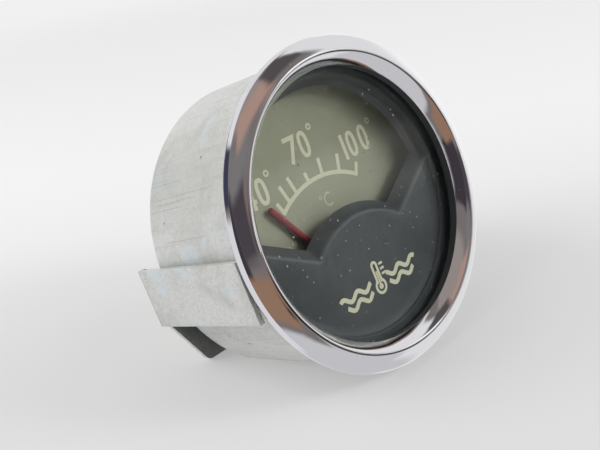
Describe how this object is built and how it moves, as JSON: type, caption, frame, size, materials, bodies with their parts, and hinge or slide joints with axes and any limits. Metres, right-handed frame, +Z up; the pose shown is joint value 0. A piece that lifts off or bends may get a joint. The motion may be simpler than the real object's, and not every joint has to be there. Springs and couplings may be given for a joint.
{
  "type": "water temperature gauge",
  "caption": "Round electric panel gauge for engine water temperature, with chrome bezel, swinging pointer behind glass, rear terminals and a U bracket with clamp nut.",
  "frame": {"origin": "centre of the ring face behind the bezel that seats on the front of the panel", "axes": "+Y along the gauge's axis from the glass to the terminals, +Z up on the dial as installed, +X to the right as seen from the front"},
  "size_m": [0.0566, 0.0459, 0.0566],
  "materials": {
    "zinc_plate": "bright zinc plate gone matt, stained and lightly scratched",
    "chrome": "polished chrome plate with small pits",
    "black_rubber": "matt black rubber",
    "clear_glass": "flat clear glass with a little dust",
    "slate_mask": "satin slate grey",
    "dial_paint": "flat olive grey with cream numbers and scale",
    "pointer_red": "dark red enamel",
    "brass": "machined brass, slightly dull",
    "steel": "plain machined steel",
    "soft_iron": "dull annealed iron",
    "copper": "enamelled copper wire",
    "bobbin_brown": "moulded brown phenolic",
    "fibre": "red-brown vulcanised fibre",
    "ceramic": "unglazed off-white ceramic"
  },
  "bodies": {
    "gauge": {"case": "zinc_plate", "bezel": "chrome", "seal_ring": "black_rubber", "glass": "clear_glass", "mask": "slate_mask", "dial_plate": "dial_paint", "dial_screws": "brass", "dial_posts": "brass", "front_bridge": "brass", "bridge_posts": "brass", "bridge_screws": "steel", "front_bearing": "brass", "rear_bearing": "brass", "bearing_nut": "brass", "movement_plate": "zinc_plate", "movement_screws": "steel", "yoke": "soft_iron", "yoke_rivets": "steel", "pole_piece_left": "soft_iron", "pole_piece_right": "soft_iron", "bobbin_left": "bobbin_brown", "bobbin_right": "bobbin_brown", "winding_left": "copper", "winding_right": "copper", "coil_leads": "copper", "resistor_spool": "ceramic", "resistor_screw": "steel", "terminal_studs": "brass", "inner_insulators": "fibre", "terminal_bushes": "fibre", "terminal_nuts": "brass", "terminal_washers": "brass", "centre_stud": "zinc_plate", "stud_nut": "zinc_plate"},
    "pointer_unit": {"pointer": "pointer_red", "balance_weight": "brass", "pointer_hub": "brass", "spindle": "steel", "armature": "soft_iron"},
    "clamp": {"bracket": "zinc_plate", "spring_washer": "steel"},
    "nut": {"clamp_nut": "brass"}
  },
  "joints": [
    {"name": "pointer_swing", "type": "hinge", "parent": "gauge", "child": "pointer_unit", "pos_m": [0, 0.0165, -0.0144], "axis": [0, 1, 0], "range_deg": [0, 67]},
    {"name": "bracket_slide", "type": "slide", "parent": "gauge", "child": "clamp", "axis": [0, 1, 0], "range_m": [0, 0.006]},
    {"name": "nut_spin", "type": "hinge", "parent": "clamp", "child": "nut", "pos_m": [0, 0.033, 0], "axis": [0, 1, 0], "range_deg": [0, 2700]}
  ],
  "couplings": [
    {"joint": "nut_spin", "follows": "bracket_slide", "rad_per_m": 7854}
  ]
}
